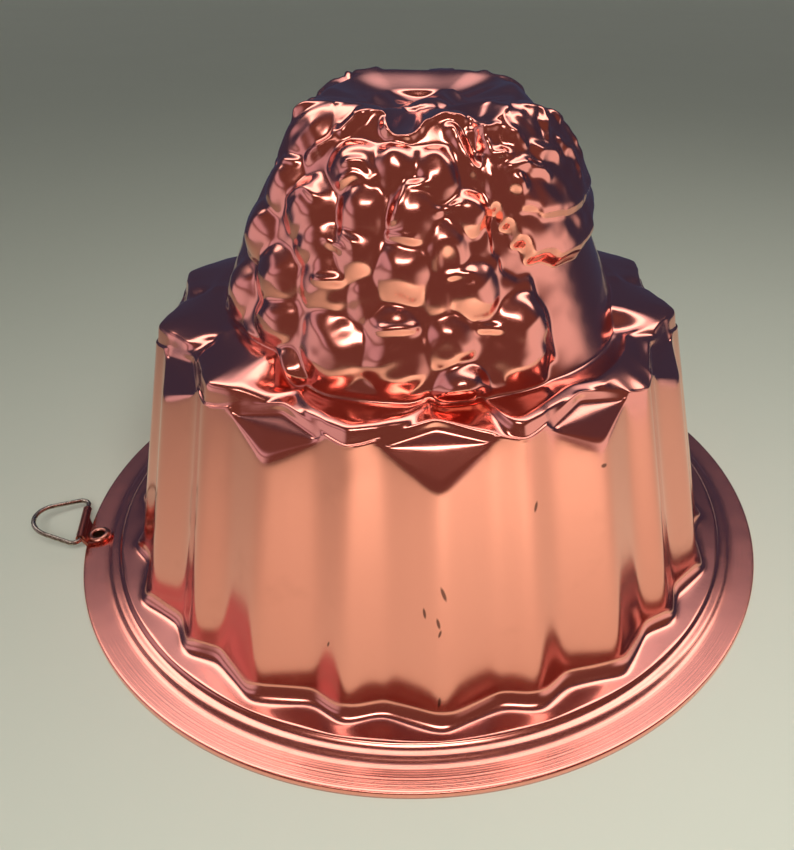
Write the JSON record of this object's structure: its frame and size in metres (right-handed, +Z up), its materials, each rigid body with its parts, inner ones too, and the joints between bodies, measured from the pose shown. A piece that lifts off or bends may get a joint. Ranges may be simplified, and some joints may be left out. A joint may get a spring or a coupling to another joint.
{
  "type": "fluted cake and jelly mould",
  "caption": "Tall fluted mould with a domed crown of grapes and leaves, a round flange to stand or seal on, and a swinging ring to hang it by.",
  "frame": {"origin": "centre of the mouth, on the plane that the flange's lip stands on", "axes": "+Z up from the mouth through the crown, -X towards the hanger, +Y across"},
  "size_m": [0.2226, 0.208, 0.1253],
  "materials": {
    "copper_skin": "bright copper-coloured anodising",
    "strap_sheet": "bright copper-coloured anodising, dulled by handling",
    "eyelet_metal": "tarnished",
    "ring_wire": "plated wire, slightly tarnished"
  },
  "bodies": {
    "mould": {"mould_shell": "copper_skin", "hanger_strap": "strap_sheet", "eyelet": "eyelet_metal"},
    "ring": {"hanging_ring": "ring_wire"}
  },
  "joints": [
    {"name": "ring_swing", "type": "hinge", "parent": "mould", "child": "ring", "pos_m": [-0.1048, 0, 0.0047], "axis": [0, 1, 0], "range_deg": [-102, 134]}
  ]
}
